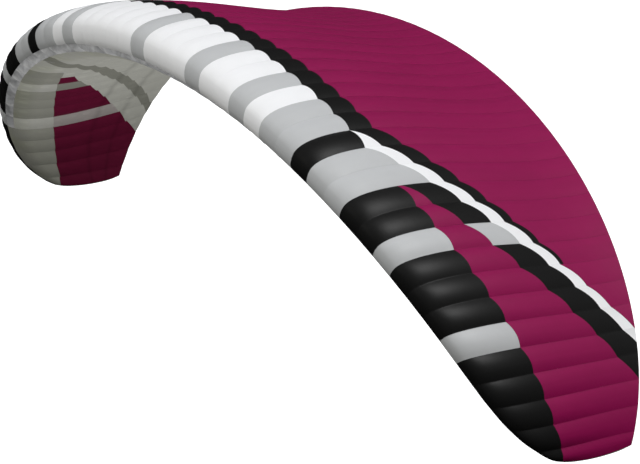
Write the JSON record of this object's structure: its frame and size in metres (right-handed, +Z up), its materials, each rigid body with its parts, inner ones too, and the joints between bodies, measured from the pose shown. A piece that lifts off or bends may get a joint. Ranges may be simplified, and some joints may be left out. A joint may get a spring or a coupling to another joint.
{
  "type": "paraglider wing",
  "caption": "Inflated ram-air paraglider canopy: a tapered, arched wing of sewn cloth cells with open mouths under its nose and flat cell walls inside.",
  "frame": {"origin": "on the underside of the middle cell wall, 30 % of the chord behind the leading edge, where the lines hold the wing", "axes": "+X along the span to the left tip, -Y forwards to the leading edge, +Z up"},
  "size_m": [8.9514, 2.9158, 2.9562],
  "materials": {
    "nose_cloth": "coated ripstop nylon, white with grey and black blocks",
    "band_cloth": "coated ripstop nylon, black",
    "stripe_cloth": "coated ripstop nylon, white",
    "magenta_cloth": "coated ripstop nylon, dark magenta",
    "underside_cloth": "coated ripstop nylon, white with grey and dark magenta panels",
    "wall_cloth": "stiff coated nylon, white"
  },
  "bodies": {
    "root": {"nose_panels": "nose_cloth", "front_band": "band_cloth", "stripe_left": "stripe_cloth", "stripe_right": "stripe_cloth", "outer_band_left": "band_cloth", "outer_band_right": "band_cloth", "tip_panel_left": "magenta_cloth", "tip_panel_right": "magenta_cloth", "rear_panel": "magenta_cloth", "underside": "underside_cloth", "rib_00": "wall_cloth", "rib_left_01": "wall_cloth", "rib_left_02": "wall_cloth", "rib_left_03": "wall_cloth", "rib_left_04": "wall_cloth", "rib_left_05": "wall_cloth", "rib_left_06": "wall_cloth", "rib_left_07": "wall_cloth", "rib_left_08": "wall_cloth", "rib_left_09": "wall_cloth", "rib_left_10": "wall_cloth", "rib_left_11": "wall_cloth", "rib_left_12": "wall_cloth", "rib_left_13": "wall_cloth", "rib_left_14": "wall_cloth", "rib_left_15": "wall_cloth", "rib_left_16": "wall_cloth", "rib_left_17": "wall_cloth", "rib_left_18": "wall_cloth", "rib_left_19": "wall_cloth", "rib_left_20": "wall_cloth", "rib_left_21": "wall_cloth", "rib_left_22": "wall_cloth", "rib_left_23": "wall_cloth", "rib_left_24": "wall_cloth", "rib_right_01": "wall_cloth", "rib_right_02": "wall_cloth", "rib_right_03": "wall_cloth", "rib_right_04": "wall_cloth", "rib_right_05": "wall_cloth", "rib_right_06": "wall_cloth", "rib_right_07": "wall_cloth", "rib_right_08": "wall_cloth", "rib_right_09": "wall_cloth", "rib_right_10": "wall_cloth", "rib_right_11": "wall_cloth", "rib_right_12": "wall_cloth", "rib_right_13": "wall_cloth", "rib_right_14": "wall_cloth", "rib_right_15": "wall_cloth", "rib_right_16": "wall_cloth", "rib_right_17": "wall_cloth", "rib_right_18": "wall_cloth", "rib_right_19": "wall_cloth", "rib_right_20": "wall_cloth", "rib_right_21": "wall_cloth", "rib_right_22": "wall_cloth", "rib_right_23": "wall_cloth", "rib_right_24": "wall_cloth"}
  },
  "joints": []
}
